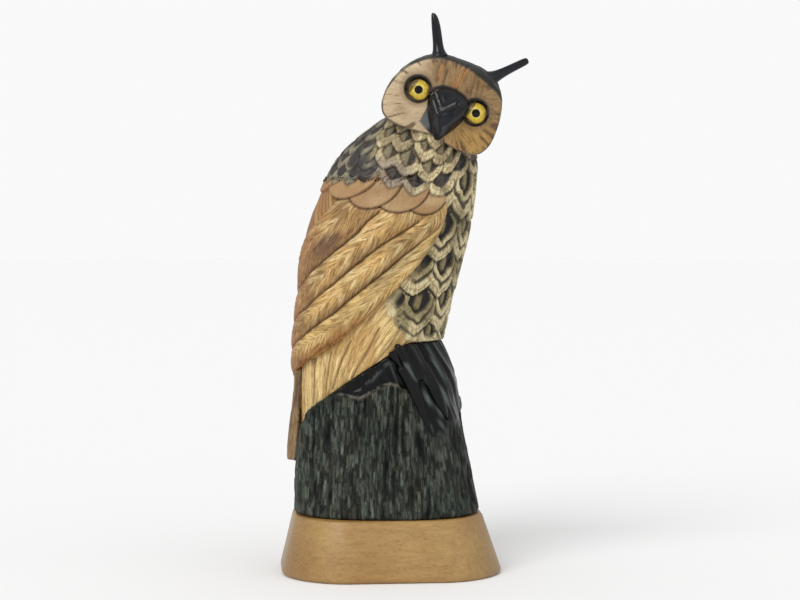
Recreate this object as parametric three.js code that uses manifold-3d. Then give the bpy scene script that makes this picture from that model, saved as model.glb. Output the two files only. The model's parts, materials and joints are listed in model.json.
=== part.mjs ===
// A carved wooden owl perched on a bark stump, with a turned and tilted head, glass eyes, a black beak
// and two black ear tufts. Every piece of the assembly is a solid of its own.
// Millimetres, +Z up. The origin is the middle of the base's underside, and the face looks along -Y.

import * as THREE from "three";
import { mergeVertices } from "three/addons/utils/BufferGeometryUtils.js";
import Module from "manifold-3d";

const wasm = await Module();
wasm.setup();

// ---- Driving dimensions ----

const GAP = 0.3; // glue line left between two pieces that touch

const BASE_HEIGHT = 32;
const STUMP_FOOT = BASE_HEIGHT + GAP;
const TOP_OF_STUMP = 125;

// The bird's body is turned on its perch: its own frame has +X to the fore and +Y to its left.
const BODY_TURN = THREE.MathUtils.degToRad(-15);

const WING_THICKNESS = 3.2;

// The head's own frame starts midway between the eyes, with +X to its left, +Y to its back and +Z to its
// crown.
const FACE_CENTRE = new THREE.Vector3(30, -34, 251.7);
const HEAD_TILT = THREE.MathUtils.degToRad(22);
const HEAD_TURN = THREE.MathUtils.degToRad(5);

const EYE_SPACING = 32.4;
const EYE_RADIUS = 5.5;
const IRIS_THICKNESS = 0.8;
const PUPIL_RADIUS = 2.1;
const SOCKET_RADIUS = 6.6;
const SOCKET_DEPTH = 3.4;

const BEAK_PEG = { radius: 2.5, length: 9, height: -6 };

const TUFT_PEG = { radius: 1.4, length: 7 };

const DOWEL_RADIUS = 4;
const DOWEL_LENGTH = 30;
const NECK_DOWEL = { radius: 4, length: 26 };

const SCREW = { spread: 25, shankRadius: 2.1, headRadius: 4.2, headHeight: 3, recess: 1, length: 52 };

// ---- Finishes ----

function finish(colour, roughness) {
  return new THREE.MeshStandardMaterial({ color: colour, roughness, metalness: 0 });
}

const paleWood = finish(0xad8b59, 0.5);
const burntWood = finish(0xab8c5f, 0.6);
const bark = finish(0x383f38, 0.85);
const blackHorn = finish(0x1c1e21, 0.25);
const dowelWood = finish(0xc9a671, 0.7);
const glass = finish(0xf4f4ee, 0.05);
const yellowEnamel = finish(0xe0b02c, 0.3);
const blackEnamel = finish(0x101010, 0.3);
const steel = new THREE.MeshStandardMaterial({ color: 0xb9b6a6, roughness: 0.35, metalness: 1 });

// ---- Solids ----

const owl = new THREE.Group();

// A closed three.js geometry as a solid that can be cut and joined.
function solid(geometry) {
  geometry.deleteAttribute("normal");
  geometry.deleteAttribute("uv");
  const merged = mergeVertices(geometry, 1e-3);
  const triVerts = new Uint32Array(merged.index.array);
  const vertProperties = merged.attributes.position.array;
  return new wasm.Manifold(new wasm.Mesh({ numProp: 3, vertProperties, triVerts }));
}

// A solid in a turned frame is cut by pieces that are given in the part's frame, so all share that one.
function place(shape, matrix) {
  return shape.transform(matrix.elements);
}

function addPiece(name, shape, material) {
  const { vertProperties, triVerts } = shape.getMesh();
  const geometry = new THREE.BufferGeometry();
  geometry.setAttribute("position", new THREE.BufferAttribute(vertProperties, 3));
  geometry.setIndex(new THREE.BufferAttribute(triVerts, 1));
  geometry.computeVertexNormals();
  const mesh = new THREE.Mesh(geometry, material);
  mesh.name = name;
  owl.add(mesh);
}

// A rounded column through stations [height, centre x, centre y, half x, half y], bottom to top. The
// rings are superellipses: a power of 2 is an ellipse, and a higher one is squarer.
function column(stations, { power = 2, grow = 0, around = 40, along = 24 } = {}) {
  const centres = stations.map(([z, x, y]) => new THREE.Vector3(x, y, z));
  const halves = stations.map(([, , , a, b]) => new THREE.Vector3(a + grow, b + grow, 0));
  const spine = new THREE.CatmullRomCurve3(centres, false, "catmullrom");
  const girth = new THREE.CatmullRomCurve3(halves, false, "catmullrom");
  const geometry = new THREE.CylinderGeometry(1, 1, 1, around, along);
  const position = geometry.attributes.position;
  for (let i = 0; i < position.count; i++) {
    const t = THREE.MathUtils.clamp(position.getY(i) + 0.5, 0, 1);
    const [x, y] = [position.getX(i), -position.getZ(i)];
    const reach = Math.hypot(x, y);
    const [c, s] = reach > 0 ? [x / reach, y / reach] : [0, 0];
    const round = reach / (Math.abs(c) ** power + Math.abs(s) ** power || 1) ** (1 / power);
    const centre = spine.getPoint(t);
    const half = girth.getPoint(t);
    position.setXYZ(i, centre.x + half.x * round * c, centre.y + half.y * round * s, centre.z);
  }
  return solid(geometry);
}

// A closed outline of [x, y] corners, smoothed and lofted up through stations [height, shift in x, shift
// in y, scale in x, scale in y]. The outline runs anticlockwise.
function loft(outline, stations, { grow = 0, around = 44, along = 20 } = {}) {
  const rim = new THREE.CatmullRomCurve3(outline.map(([x, y]) => new THREE.Vector3(x, y, 0)), true);
  const shifts = new THREE.CatmullRomCurve3(stations.map(([z, x, y]) => new THREE.Vector3(x, y, z)));
  const scales = new THREE.CatmullRomCurve3(stations.map(([, , , a, b]) => new THREE.Vector3(a, b, 0)));
  for (const curve of [shifts, scales]) curve.curveType = "catmullrom";
  const geometry = new THREE.CylinderGeometry(1, 1, 1, around, along);
  const position = geometry.attributes.position;
  for (let i = 0; i < position.count; i++) {
    const t = THREE.MathUtils.clamp(position.getY(i) + 0.5, 0, 1);
    const [x, y] = [position.getX(i), -position.getZ(i)];
    const reach = Math.hypot(x, y);
    const turn = THREE.MathUtils.euclideanModulo(Math.atan2(y, x) / (2 * Math.PI), 1);
    const edge = rim.getPoint(turn < 1 - 1e-6 ? turn : 0);
    const [shift, scale] = [shifts.getPoint(t), scales.getPoint(t)];
    const out = reach * (1 + grow / edge.length());
    position.setXYZ(i, shift.x + edge.x * scale.x * out, shift.y + edge.y * scale.y * out, shift.z);
  }
  return solid(geometry);
}

// A turned piece: its profile [radius, height] starts and ends on the Z axis.
function turned(profile, segments = 24) {
  const points = profile.map(([r, z]) => new THREE.Vector2(r, z));
  return solid(new THREE.LatheGeometry(points, segments).rotateX(Math.PI / 2));
}

function rod(radius, length, segments = 24) {
  return solid(new THREE.CylinderGeometry(radius, radius, length, segments).rotateX(Math.PI / 2));
}

// An outline in the XZ plane, from [x, z] corners, extruded along Y from one y to another.
function slab(outline, fromY, toY) {
  const shape = new THREE.Shape(outline.map(([x, z]) => new THREE.Vector2(x, z)));
  const extruded = new THREE.ExtrudeGeometry(shape, { depth: toY - fromY, bevelEnabled: false });
  return solid(extruded.rotateX(Math.PI / 2).translate(0, toY, 0));
}

// The same, with the outline smoothed by a closed spline through its points.
function smoothSlab(outline, fromY, toY, divisions = 52) {
  const spline = new THREE.CatmullRomCurve3(
    outline.map(([x, z]) => new THREE.Vector3(x, 0, z)),
    true,
  );
  const points = spline.getPoints(divisions).slice(0, -1);
  return slab(points.map(({ x, z }) => [x, z]), fromY, toY);
}

const birdFrame = new THREE.Matrix4().makeRotationZ(BODY_TURN);
const headFrame = new THREE.Matrix4()
  .makeTranslation(FACE_CENTRE)
  .multiply(new THREE.Matrix4().makeRotationZ(HEAD_TURN))
  .multiply(new THREE.Matrix4().makeRotationY(HEAD_TILT));

function inBird(shape) {
  return place(shape, birdFrame);
}

function inHead(shape) {
  return place(shape, headFrame);
}

// ---- Perch: the saddle where the bird sits on the stump ----

// Level under the belly, then falling away to the tail. In the bird's frame.
const SADDLE = [
  [90, TOP_OF_STUMP],
  [17, TOP_OF_STUMP],
  [-37, 88.5],
  [-44, 76],
  [-48, 50],
  [-90, 50],
];

function overSaddle(lift) {
  const line = SADDLE.map(([x, z]) => [x, z + lift]);
  return inBird(slab([...line, [-90, 320], [90, 320]], -90, 90));
}

function underSaddle(lift) {
  const line = SADDLE.map(([x, z]) => [x, z + lift]);
  return inBird(slab([...line, [-90, -40], [90, -40]].reverse(), -90, 90));
}

// ---- Body ----

// Stations in the bird's frame, with the breast to +X.
const TORSO = [
  [72, -12, 0, 37, 31],
  [90, -12, 0, 38, 32],
  [108, -12, 0, 38.5, 33.5],
  [122, -11.5, 0, 39, 34.5],
  [138, -9, 0, 39.8, 35.5],
  [154, -6, 0, 40.9, 36.5],
  [170, -3.3, 0, 42.3, 37],
  [186, 0.4, 0, 42.7, 37],
  [202, 4, 0, 41.5, 36],
  [216, 7.2, 0, 39.6, 34],
  [228, 11.5, -0.5, 34.5, 30.5],
  [238, 16.5, -1.5, 27, 25],
  [246, 20.5, -2.5, 18, 17],
  [250, 22.5, -3, 7, 7],
];

const TORSO_RINGS = { power: 2.15, around: 44, along: 26 };

function torso(grow) {
  return inBird(column(TORSO, { ...TORSO_RINGS, grow }));
}

const stumpDowels = [
  [12, -4],
  [-10, 6],
];

function stumpDowel([x, y], grow) {
  return rod(DOWEL_RADIUS + grow, DOWEL_LENGTH + 2 * grow).translate(x, y, 112);
}

const neckDowelFrame = new THREE.Matrix4()
  .makeTranslation(22, -8, 247)
  .multiply(new THREE.Matrix4().makeRotationY(THREE.MathUtils.degToRad(16)));

function neckDowel(grow) {
  return place(rod(NECK_DOWEL.radius + grow, NECK_DOWEL.length + 2 * grow), neckDowelFrame);
}

let body = torso(0).intersect(overSaddle(GAP / 2));
for (const at of stumpDowels) body = body.subtract(stumpDowel(at, GAP));
body = body.subtract(neckDowel(GAP));

// ---- Stump and base ----

// Stations in the part's frame.
const STUMP = [
  [STUMP_FOOT, -1.9, 0, 49.5, 38],
  [46, -3.1, 0, 48.1, 37.4],
  [60, -4.3, 0, 46.6, 36.4],
  [77, -5.5, 0, 44.5, 34.6],
  [92, -6.2, 0, 43, 33.4],
  [106, -6.6, 0, 41.8, 32.4],
  [116, -8, 0, 39.4, 31],
  [127, -10, 0, 36, 29],
];

const STUMP_POWER = 2.5;

function stumpColumn(grow) {
  return column(STUMP, { power: STUMP_POWER, grow, around: 40, along: 12 });
}

const screwTip = SCREW.recess + SCREW.length;

function screw(grow) {
  const { shankRadius, headRadius, headHeight, recess } = SCREW;
  const profile = [
    [0, recess - grow],
    [headRadius + grow, recess - grow],
    [headRadius + grow, recess + 0.4],
    [shankRadius + grow, recess + headHeight + grow],
    [shankRadius + grow, screwTip - 7],
    [0, screwTip + grow],
  ];
  return turned(profile, 16);
}

// The driver reaches each screw through its countersink, which opens in the base's underside.
function screwHole() {
  return screw(GAP).add(rod(SCREW.headRadius + GAP, 4, 16).translate(0, 0, -0.5));
}

// A cross slot in each screw's head.
function driverSlot() {
  const blade = new THREE.BoxGeometry(5, 0.9, 1.6);
  return solid(blade).add(solid(new THREE.BoxGeometry(0.9, 5, 1.6))).translate(0, 0, SCREW.recess + 0.7);
}

const screwPlaces = [
  ["base_screw_left", -SCREW.spread - 2],
  ["base_screw_right", SCREW.spread - 4],
];

let stump = stumpColumn(0).subtract(overSaddle(-GAP / 2));
for (const at of stumpDowels) stump = stump.subtract(stumpDowel(at, GAP));

// Plan sections of the base, wider at the foot. It is turned a little under the stump.
const BASE = [
  [0, 0, 0, 59, 46],
  [1.2, 0, 0, 59.8, 46.6],
  [3.5, 0, 0, 59.6, 46.3],
  [12, 0.1, 0, 57, 43.8],
  [22, -0.6, 0, 53.6, 41.4],
  [30.5, -1.3, 0, 51.2, 39.8],
  [BASE_HEIGHT, -1.5, 0, 50.3, 39],
];
const BASE_TURN = 5; // degrees

let base = column(BASE, { power: 2.6, around: 48, along: 12 }).rotate([0, 0, BASE_TURN]);
for (const [, x] of screwPlaces) {
  base = base.subtract(screwHole().translate(x, 0, 0));
  stump = stump.subtract(screw(GAP).translate(x, 0, 0));
}

// ---- Wings ----

// Outline of a folded wing seen from the side, in the bird's frame: the shoulder at the top fore edge,
// the leading edge, the trailing edge that sweeps back to the wing tip, and the back.
const WING = [
  [34, 206],
  [37, 196],
  [33, 182],
  [23, 166],
  [10, 151],
  [-5, 137],
  [-24, 122],
  [-42, 112],
  [-56, 104],
  [-62, 120],
  [-62, 160],
  [-56, 196],
  [-38, 213],
  [-12, 219],
  [16, 215],
];
const WINGS_APART = 1.6; // half the space left between the wings down the middle of the back

const WING_ROOT = [190, 216]; // heights between which a wing thins out into the shoulder

// The outside of the wings: the torso grown by their thickness.
function wingSurface(grow) {
  const stations = TORSO.map(([z, x, y, a, b]) => {
    const thickness = WING_THICKNESS * (1 - THREE.MathUtils.smoothstep(z, ...WING_ROOT));
    return [z, x, y, a + thickness, b + thickness];
  });
  return inBird(column(stations, { ...TORSO_RINGS, grow }));
}

const wingSkin = wingSurface(0).subtract(torso(GAP));

function wing(side) {
  const reach = [-WINGS_APART, -70].map((y) => y * side);
  const flank = smoothSlab(WING, Math.min(...reach), Math.max(...reach));
  return wingSkin.intersect(inBird(flank)).intersect(overSaddle(GAP));
}

const rightWing = wing(1);
const leftWing = wing(-1);

// ---- Tail ----

// A flat fan of long feathers down the back of the stump, in the bird's frame.
const TAIL = [
  [59.5, -51.4, 0, 3.2, 15],
  [62, -51.5, 0, 4, 16.5],
  [78, -49.2, 0, 4.8, 18],
  [92, -46.4, 0, 5.3, 19.5],
  [104, -44.8, 0, 5.6, 21],
  [116, -45, 0, 5.6, 22],
];
const tail = inBird(column(TAIL, { power: 3, around: 28, along: 10 }))
  .subtract(torso(GAP))
  .subtract(wingSurface(GAP).intersect(inBird(smoothSlab(WING, -70, 70))))
  .subtract(stumpColumn(GAP))
  .decompose()
  .sort((a, b) => b.volume() - a.volume())[0];

// ---- Feet ----

// Each leg comes down over the fore edge of the stump and parts into three long toes that lie on the
// bark. A limb runs along the stump's side between two places on it, from its low end to its high end.
// Angles are degrees round the stump from +X, for the right foot. The left foot's are mirrored in the
// bird's own middle plane, and then set further back.
const LEFT_FOOT_BACK = THREE.MathUtils.degToRad(10);
const LEG = { low: [106, -50], high: [124.6, -62], lowRadius: 6.5, highRadius: 10.5, sunk: 4 };
const TOES = [
  { low: [74, -46], high: [112, -64], lowRadius: 1, highRadius: 4.4, sunk: 0.4 },
  { low: [84, -32], high: [114, -50], lowRadius: 1, highRadius: 4.2, sunk: 0.4 },
  { low: [94, -20], high: [116, -38], lowRadius: 1, highRadius: 4.4, sunk: 0.4 },
];
const LIMB_RINGS = 6;

// How far out the stump's side is at a height, and where its middle is.
function stumpSide(height, angle) {
  const above = STUMP.findIndex(([z]) => z >= height);
  const [low, high] = [STUMP[above - 1], STUMP[above]];
  const share = (height - low[0]) / (high[0] - low[0]);
  const [middle, halfX, halfY] = [1, 3, 4].map((k) => THREE.MathUtils.lerp(low[k], high[k], share));
  const [c, s] = [Math.abs(Math.cos(angle)) / halfX, Math.abs(Math.sin(angle)) / halfY];
  return { middle, reach: (c ** STUMP_POWER + s ** STUMP_POWER) ** (-1 / STUMP_POWER) };
}

function limb({ low, high, lowRadius, highRadius, sunk }, mirrored) {
  const stations = Array.from({ length: LIMB_RINGS }, (_, i) => {
    const share = i / (LIMB_RINGS - 1);
    const height = THREE.MathUtils.lerp(low[0], high[0], share);
    const turn = THREE.MathUtils.degToRad(THREE.MathUtils.lerp(low[1], high[1], share));
    const angle = mirrored ? 2 * BODY_TURN - turn + LEFT_FOOT_BACK : turn;
    const radius = THREE.MathUtils.lerp(lowRadius, highRadius, Math.sqrt(share));
    const { middle, reach } = stumpSide(Math.min(height, TOP_OF_STUMP), angle);
    const out = reach - sunk;
    return [height, middle + out * Math.cos(angle), out * Math.sin(angle), radius, radius];
  });
  return column(stations, { around: 16, along: 10 });
}

function foot(mirrored) {
  const shape = TOES.reduce((joined, toe) => joined.add(limb(toe, mirrored)), limb(LEG, mirrored));
  return shape
    .intersect(underSaddle(1.5))
    .subtract(stumpColumn(GAP).subtract(overSaddle(0)))
    .subtract(torso(GAP).intersect(overSaddle(-GAP)))
    .decompose()
    .sort((a, b) => b.volume() - a.volume())[0];
}

// ---- Head ----

// The face's outline, from the crown down its right cheek to the chin and back up its left: [x, rise].
const FACE = [
  [0.5, 20.8],
  [-9, 20.2],
  [-17, 17.2],
  [-24.2, 11.4],
  [-29.2, 3.5],
  [-31.6, -5.5],
  [-31.5, -12.8],
  [-28, -18.8],
  [-20, -20.8],
  [-10, -20.4],
  [-1, -19.4],
  [8, -20.6],
  [17.5, -21.4],
  [25.6, -19.4],
  [29.4, -13],
  [30, -5],
  [29, 4],
  [26.2, 12.2],
  [20, 18.6],
  [11, 20.9],
];

// The head from the face to the back: [depth, shift, rise, scale across, scale up].
const HEAD = [
  [0, 0, 0, 0.95, 0.94],
  [1.2, 0, 0, 1, 1],
  [5, 0, 1.2, 1, 1.05],
  [14, 0.2, 2.2, 0.98, 1.08],
  [26, 0.2, 1.4, 0.9, 1.01],
  [38, 0, -0.2, 0.71, 0.83],
  [46, 0, -1.6, 0.44, 0.53],
  [50, 0, -2, 0.13, 0.16],
];

function headShape(grow) {
  return inHead(loft(FACE, HEAD, { grow }).rotate([-90, 0, 0]).mirror([0, 0, 1]));
}

function eyePlace(side) {
  return [(side * EYE_SPACING) / 2, 0, 0];
}

// A turned piece whose +Z faces out of the face.
function facing(shape, [x, y, z]) {
  return inHead(shape.rotate([90, 0, 0]).translate(x, y, z));
}

const socket = rod(SOCKET_RADIUS, SOCKET_DEPTH + 4, 24).translate(0, 0, 2 - SOCKET_DEPTH / 2);

// Clear glass with a domed front. Its flat back carries the iris ring and the pupil.
const eyeBack = -SOCKET_DEPTH + GAP;
const glassBack = eyeBack + IRIS_THICKNESS + GAP;
const domeRise = 3.1;
const domeFrom = 0.6;

function eyeGlass() {
  const steps = 5;
  const dome = Array.from({ length: steps + 1 }, (_, i) => {
    const angle = ((Math.PI / 2) * i) / steps;
    return [EYE_RADIUS * Math.cos(angle), domeFrom + domeRise * Math.sin(angle)];
  });
  dome[steps][0] = 0;
  return turned([[0, glassBack], [EYE_RADIUS, glassBack], ...dome]);
}

function iris() {
  const back = eyeBack;
  const front = eyeBack + IRIS_THICKNESS;
  const hole = PUPIL_RADIUS + GAP;
  const ring = turned([[0, back], [EYE_RADIUS, back], [EYE_RADIUS, front], [0, front]]);
  return ring.subtract(rod(hole, 12, 16));
}

function pupil() {
  return rod(PUPIL_RADIUS, IRIS_THICKNESS, 16).translate(0, 0, eyeBack + IRIS_THICKNESS / 2);
}

// The beak in the head's frame, from its hooked tip up to the brow: [height, x, y, half width, depth].
const BEAK = [
  [-22, 0, -4.4, 0.5, 0.7],
  [-20, 0, -4, 1.9, 3],
  [-15, 0, -2.5, 4.2, 5.8],
  [-9, 0, -1.2, 7, 7.4],
  [-3, 0, -0.4, 9.2, 7.2],
  [1.5, 0, 0, 8.6, 5.2],
  [4.4, 0, 0.4, 5.2, 2.6],
];

function beakPeg(grow) {
  const { radius, length, height } = BEAK_PEG;
  return rod(radius + grow, length + 2 * grow, 16).rotate([90, 0, 0]).translate(0, length / 2 - 1, height);
}

const frontOfFace = solid(new THREE.BoxGeometry(80, 40, 80)).translate(0, -20 - GAP, 0);
const beakHorn = column(BEAK, { power: 1.7, around: 24, along: 16 }).intersect(frontOfFace);
const beak = inHead(beakHorn.add(beakPeg(0)));

// The ear tufts are tapered horn spikes, each with a flared foot and a peg. [height, x, y, half x, half y].
const TUFT = [
  [-3, 0, 0, 5.4, 5],
  [-0.4, 0, 0, 4.2, 3.8],
  [2.4, 0, 0, 2.8, 2.5],
  [9, 0.1, 0, 2.4, 2],
  [15, 0.2, 0, 2.1, 1.7],
  [19.6, 0.2, 0, 1.5, 1.3],
  [21.6, 0.1, 0, 0.4, 0.4],
];
const TUFTS = [
  { name: "right_ear_tuft", at: [-12, 7, 22.2], lean: -32, stretch: 1.02 },
  { name: "left_ear_tuft", at: [16, 7, 20.8], lean: 42, stretch: 1.11 },
];

function tuftFrame({ at, lean }) {
  return new THREE.Matrix4()
    .makeTranslation(...at)
    .multiply(new THREE.Matrix4().makeRotationY(THREE.MathUtils.degToRad(lean)))
    .multiply(new THREE.Matrix4().makeRotationX(THREE.MathUtils.degToRad(-6)));
}

function tuftPeg(grow) {
  const { radius, length } = TUFT_PEG;
  return rod(radius + grow, length + 2 * grow, 12).translate(0, 0, -length / 2 + 0.5);
}

// The head is hollowed underneath to sit down on the rounded neck.
let head = headShape(0).subtract(torso(GAP)).subtract(neckDowel(GAP)).subtract(inHead(beakPeg(GAP)));
for (const side of [-1, 1]) head = head.subtract(facing(socket, eyePlace(side)));

const tufts = TUFTS.map((tuft) => {
  const frame = tuftFrame(tuft);
  const horn = column(TUFT, { around: 14, along: 12 }).scale([1, 1, tuft.stretch]);
  const spike = inHead(place(horn, frame)).subtract(headShape(GAP));
  const peg = inHead(place(tuftPeg(0), frame));
  head = head.subtract(inHead(place(tuftPeg(GAP), frame)));
  return { name: tuft.name, shape: spike.add(peg).decompose().sort((a, b) => b.volume() - a.volume())[0] };
});

head = head.decompose().sort((a, b) => b.volume() - a.volume())[0];

// ---- Assembly ----

addPiece("base", base, paleWood);
for (const [name, x] of screwPlaces) {
  addPiece(name, screw(0).subtract(driverSlot()).translate(x, 0, 0), steel);
}
addPiece("stump", stump, bark);
addPiece("stump_dowel_front", stumpDowel(stumpDowels[0], 0), dowelWood);
addPiece("stump_dowel_back", stumpDowel(stumpDowels[1], 0), dowelWood);
addPiece("right_foot", foot(false), blackHorn);
addPiece("left_foot", foot(true), blackHorn);
addPiece("body", body, burntWood);
addPiece("right_wing", rightWing, burntWood);
addPiece("left_wing", leftWing, burntWood);
addPiece("tail", tail, burntWood);
addPiece("neck_dowel", neckDowel(0), dowelWood);
addPiece("head", head, burntWood);
addPiece("beak", beak, blackHorn);
for (const { name, shape } of tufts) addPiece(name, shape, blackHorn);
for (const [side, name] of [[-1, "right"], [1, "left"]]) {
  addPiece(`${name}_eye_glass`, facing(eyeGlass(), eyePlace(side)), glass);
  addPiece(`${name}_eye_iris`, facing(iris(), eyePlace(side)), yellowEnamel);
  addPiece(`${name}_eye_pupil`, facing(pupil(), eyePlace(side)), blackEnamel);
}

export default owl;
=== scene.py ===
import json
from math import cos, radians, sin

import bmesh
import bpy
import numpy as np
from mathutils import Matrix, Vector

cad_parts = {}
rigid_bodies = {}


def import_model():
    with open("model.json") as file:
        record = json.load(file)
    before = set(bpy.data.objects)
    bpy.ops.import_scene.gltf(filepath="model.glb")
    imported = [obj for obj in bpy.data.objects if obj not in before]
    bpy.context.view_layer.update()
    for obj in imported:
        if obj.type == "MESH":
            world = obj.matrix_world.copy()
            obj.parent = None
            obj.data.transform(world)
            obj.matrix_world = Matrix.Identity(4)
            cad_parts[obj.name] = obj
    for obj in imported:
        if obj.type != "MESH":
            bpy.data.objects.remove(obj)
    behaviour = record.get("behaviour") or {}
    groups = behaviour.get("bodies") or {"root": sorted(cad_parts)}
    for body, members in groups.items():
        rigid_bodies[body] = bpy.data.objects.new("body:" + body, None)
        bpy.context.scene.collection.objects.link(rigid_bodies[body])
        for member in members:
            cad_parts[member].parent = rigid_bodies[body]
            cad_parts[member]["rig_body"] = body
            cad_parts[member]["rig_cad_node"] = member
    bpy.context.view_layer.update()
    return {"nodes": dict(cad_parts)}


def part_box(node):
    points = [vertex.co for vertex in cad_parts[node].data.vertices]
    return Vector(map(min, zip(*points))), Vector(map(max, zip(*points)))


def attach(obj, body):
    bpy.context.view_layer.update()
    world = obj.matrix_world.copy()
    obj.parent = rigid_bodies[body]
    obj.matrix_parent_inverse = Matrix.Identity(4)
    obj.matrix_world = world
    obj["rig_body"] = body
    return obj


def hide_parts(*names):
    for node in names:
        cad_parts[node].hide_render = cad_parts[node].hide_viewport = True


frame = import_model()


# ---- Base ----
# A block of pale close-grained hardwood under the stump, sawn with a flared foot, its upright corners
# rounded off on a sander, then varnished satin. Two screws come up through it from underneath.

base_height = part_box("base")[1].z
base_turn = radians(5)
base_foot = (0.1195, 0.0925)
base_top_share = 0.845
corner_radius = 0.034
screw_head_radius = 0.0046


def start_piece(name):
    """The primitive just added becomes a named piece, with its place in its mesh."""
    piece = bpy.context.object
    piece.name = name
    bpy.ops.object.transform_apply(location=True, rotation=True, scale=True)
    return piece


def choose_only(piece):
    bpy.ops.object.select_all(action="DESELECT")
    piece.select_set(True)
    bpy.context.view_layer.objects.active = piece


def choose_parts(piece, kind, wanted):
    """In edit mode, selects the vertices, edges or faces for which wanted() holds."""
    bpy.ops.mesh.select_mode(type={"verts": "VERT", "edges": "EDGE", "faces": "FACE"}[kind])
    bpy.ops.mesh.select_all(action="DESELECT")
    mesh = bmesh.from_edit_mesh(piece.data)
    for part in getattr(mesh, kind):
        part.select_set(wanted(part))
    mesh.select_flush_mode()
    bmesh.update_edit_mesh(piece.data)


def apply_modifier(piece, kind, **settings):
    choose_only(piece)
    modifier = piece.modifiers.new(kind.title(), kind)
    for name, value in settings.items():
        setattr(modifier, name, value)
    bpy.ops.object.modifier_apply(modifier=modifier.name)


def smooth(piece, angle=40):
    choose_only(piece)
    bpy.ops.object.shade_smooth_by_angle(angle=radians(angle))


def fit_in(piece, slot, *nodes):
    """The piece stands for its blocked-out nodes, which are hidden. Its slot is not used."""
    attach(piece, "root")
    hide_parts(*nodes)


bpy.ops.mesh.primitive_cube_add(
    size=1,
    location=(0, 0, base_height / 2),
    rotation=(0, 0, base_turn),
    scale=(base_foot[0], base_foot[1], base_height),
)
base = start_piece("carved_base")
bpy.ops.object.mode_set(mode="EDIT")
choose_parts(base, "edges", lambda e: abs(e.verts[0].co.z - e.verts[1].co.z) > base_height / 2)
bpy.ops.mesh.bevel(offset=corner_radius, segments=14, profile=0.46, affect="EDGES")
choose_parts(base, "verts", lambda v: v.co.z > base_height / 2)
bpy.ops.transform.resize(value=(base_top_share, base_top_share, 1), center_override=(0, 0, base_height))
bpy.ops.transform.translate(value=(-0.0017, 0, 0))
choose_parts(base, "edges", lambda e: min(v.co.z for v in e.verts) > base_height - 1e-5)
bpy.ops.mesh.bevel(offset=0.0014, segments=4, affect="EDGES")
choose_parts(base, "edges", lambda e: max(v.co.z for v in e.verts) < 1e-5)
bpy.ops.mesh.bevel(offset=0.003, segments=5, affect="EDGES")
bpy.ops.object.mode_set(mode="OBJECT")
for screw in ("base_screw_left", "base_screw_right"):
    low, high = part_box(screw)
    for radius, top in ((screw_head_radius, low.z + 0.0034), (0.0025, base_height + 0.001)):
        bpy.ops.mesh.primitive_cylinder_add(
            vertices=32,
            radius=radius,
            depth=top + 0.004,
            location=((low.x + high.x) / 2, (low.y + high.y) / 2, top / 2 - 0.002),
        )
        drill = start_piece("drill")
        apply_modifier(base, "BOOLEAN", operation="DIFFERENCE", object=drill, solver="EXACT")
        bpy.data.objects.remove(drill)
smooth(base)
fit_in(base, "base_wood", "base")


def linear(red, green, blue):
    """A colour as the eye reads it, 0 to 255, as the linear colour that a shader wants."""
    share = np.array([red, green, blue]) / 255
    return np.where(share <= 0.04045, share / 12.92, ((share + 0.055) / 1.055) ** 2.4)


def new_finish(name):
    """An empty material, a way to add nodes to it, and a way to feed its shader. What goes into a socket
    is a constant, a socket, or a node, which stands for its first output."""
    material = bpy.data.materials.new(name)
    material.use_nodes = True
    tree = material.node_tree
    shader = tree.nodes["Principled BSDF"]

    def put(socket, value):
        if isinstance(value, bpy.types.Node):
            value = value.outputs[0]
        if isinstance(value, bpy.types.NodeSocket):
            tree.links.new(value, socket)
        else:
            socket.default_value = value

    def node(kind, values=None, **settings):
        made = tree.nodes.new(kind)
        for key, value in settings.items():
            setattr(made, key, value)
        for name, value in (values or {}).items():
            put(made.inputs[name], value)
        return made

    def feed(name, value):
        put(shader.inputs[name], value)

    return material, node, feed


def ramp(node, value, *places):
    """A value turned into a colour, by (place, colour or grey) pairs. Colours are from 0 to 255."""
    made = node("ShaderNodeValToRGB", {"Fac": value})
    elements = made.color_ramp.elements
    while len(elements) < len(places):
        elements.new(0.5)
    for element, (place, colour) in zip(elements, places):
        element.position = place
        shares = linear(*colour) if isinstance(colour, tuple) else [colour] * 3
        element.color = (*shares, 1)
    return made


def noise(node, where, scale, detail, **settings):
    """Soft random values over a place."""
    return node("ShaderNodeTexNoise", {"Vector": where, "Scale": scale, "Detail": detail, **settings})


def rescaled(node, value, low, high):
    """A value from 0 to 1, spread over another range."""
    return node("ShaderNodeMapRange", {"Value": value, "To Min": low, "To Max": high})


def bump(node, height, strength, distance):
    """A surface that seems to rise and fall with a value, by up to this distance in metres."""
    return node("ShaderNodeBump", {"Height": height, "Strength": strength, "Distance": distance})


def refinish(material, *names):
    """Gives a material to blocked-out pieces that are kept as they are."""
    for name in names:
        frame["nodes"][name].data.materials.clear()
        frame["nodes"][name].data.materials.append(material)


# The grain runs along the base, with short darker flecks.
pale_wood, node, feed = new_finish("pale satin wood")
where = node("ShaderNodeTexCoord").outputs["Object"]
along = node(
    "ShaderNodeMapping", {"Vector": where, "Rotation": (0, 0, -base_turn), "Scale": (60, 420, 420)}
)
grain = noise(node, along, 1, 5, Roughness=0.6)
cloudy = noise(node, where, 28, 3)
fleck_place = node(
    "ShaderNodeMapping", {"Vector": where, "Rotation": (0, 0.3, 0.4), "Scale": (420, 1500, 1200)}
)
flecks = noise(node, fleck_place, 1, 2)
wood_colour = ramp(node, grain, (0.3, (159, 124, 70)), (0.5, (169, 134, 78)), (0.72, (180, 145, 89)))
cloud_colour = ramp(node, cloudy, (0.35, (236, 226, 214)), (0.65, (255, 255, 255)))
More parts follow.
